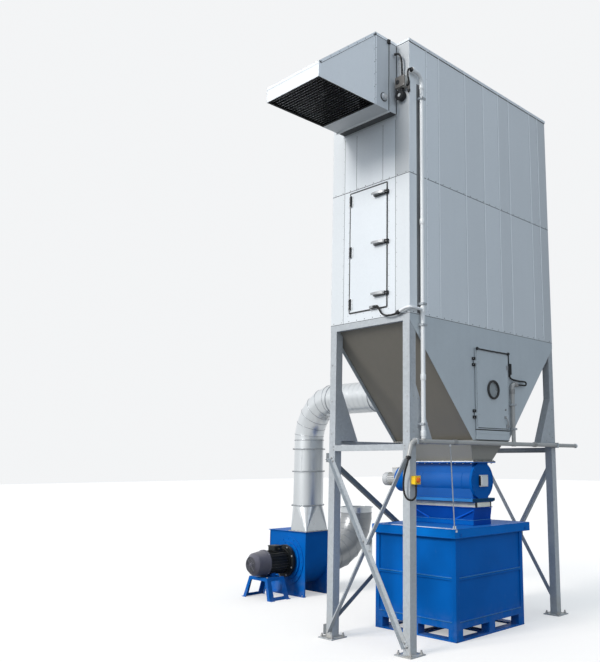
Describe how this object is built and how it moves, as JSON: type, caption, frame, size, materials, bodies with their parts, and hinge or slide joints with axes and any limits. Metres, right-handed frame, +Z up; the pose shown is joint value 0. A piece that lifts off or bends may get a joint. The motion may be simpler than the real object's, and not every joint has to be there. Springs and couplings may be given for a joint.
{
  "type": "reverse air dust collector",
  "caption": "Dust filter housing on a leg frame over a trough hopper, rotary valve and bin, with a fan set and round duct beside it.",
  "frame": {"origin": "floor point under the middle of the four legs, at the underside of the bin's middle foot", "axes": "+X towards the side with the hopper hatch, -Y towards the access door and outlet hood, +Z up"},
  "size_m": [4.127, 4.395, 6.5],
  "materials": {
    "housing_galvanised": "satin",
    "hopper_steel": "satin",
    "frame_galvanised": "satin",
    "duct_galvanised": "bright",
    "flex_black": "matte",
    "cap_grey": "satin",
    "blue_paint": "satin",
    "chute_blue": "matte",
    "sleeve_cream": "matte",
    "seal_rubber": "matte",
    "port_glass": "clear",
    "grille_dark": "matte",
    "motor_grey": "satin",
    "conduit_grey": "satin",
    "box_grey": "matte",
    "isolator_yellow": "satin",
    "knob_red": "gloss",
    "latch_black": "matte"
  },
  "bodies": {
    "collector": {"corner_posts": "housing_galvanised", "right_panels": "housing_galvanised", "left_panels": "housing_galvanised", "back_panels": "housing_galvanised", "front_panels_upper": "housing_galvanised", "front_panel_lower": "housing_galvanised", "inner_rails": "frame_galvanised", "roof": "housing_galvanised", "access_door": "housing_galvanised", "door_hinges": "frame_galvanised", "door_latches": "latch_black", "hood_plenum": "housing_galvanised", "hood_cowl": "housing_galvanised", "hood_grille": "grille_dark", "legs": "frame_galvanised", "base_plates": "frame_galvanised", "frame_beams": "frame_galvanised", "knee_gussets": "frame_galvanised", "end_braces": "frame_galvanised", "side_braces": "frame_galvanised", "hopper_right_wall": "hopper_steel", "hopper_left_wall": "hopper_steel", "hopper_front_slope": "hopper_steel", "hopper_back_slope": "hopper_steel", "hopper_neck": "hopper_steel", "hatch_seal": "seal_rubber", "hatch_hinge_pins": "frame_galvanised", "valve_body": "blue_paint", "valve_covers": "blue_paint", "valve_gearbox": "blue_paint", "valve_motor": "motor_grey", "valve_sleeve": "sleeve_cream", "valve_chute": "chute_blue", "bin_lid": "blue_paint", "bin_body": "blue_paint", "bin_base": "blue_paint", "fan_casing": "blue_paint", "fan_motor": "motor_grey", "fan_motor_cover": "motor_grey", "motor_stand": "blue_paint", "duct_transition": "duct_galvanised", "duct_riser": "duct_galvanised", "duct_bend": "duct_galvanised", "duct_run": "duct_galvanised", "suction_bend": "duct_galvanised", "suction_collar": "duct_galvanised", "conduit_riser": "conduit_grey", "conduit_header": "conduit_grey", "conduit_clamps": "frame_galvanised", "junction_box": "box_grey", "pressure_switch": "box_grey", "isolator": "isolator_yellow", "isolator_knob": "knob_red", "bearing_box": "cap_grey", "flex_leads": "flex_black", "hatch_switch": "latch_black", "lid_rod": "frame_galvanised"},
    "hatch": {"hatch": "hopper_steel", "hatch_glass": "port_glass", "hatch_port_ring": "seal_rubber"}
  },
  "joints": [
    {"name": "hatch_hinge", "type": "hinge", "parent": "collector", "child": "hatch", "pos_m": [0.622, -0.312, 2.678], "axis": [0, 0, -1], "range_deg": [0, 110]}
  ]
}
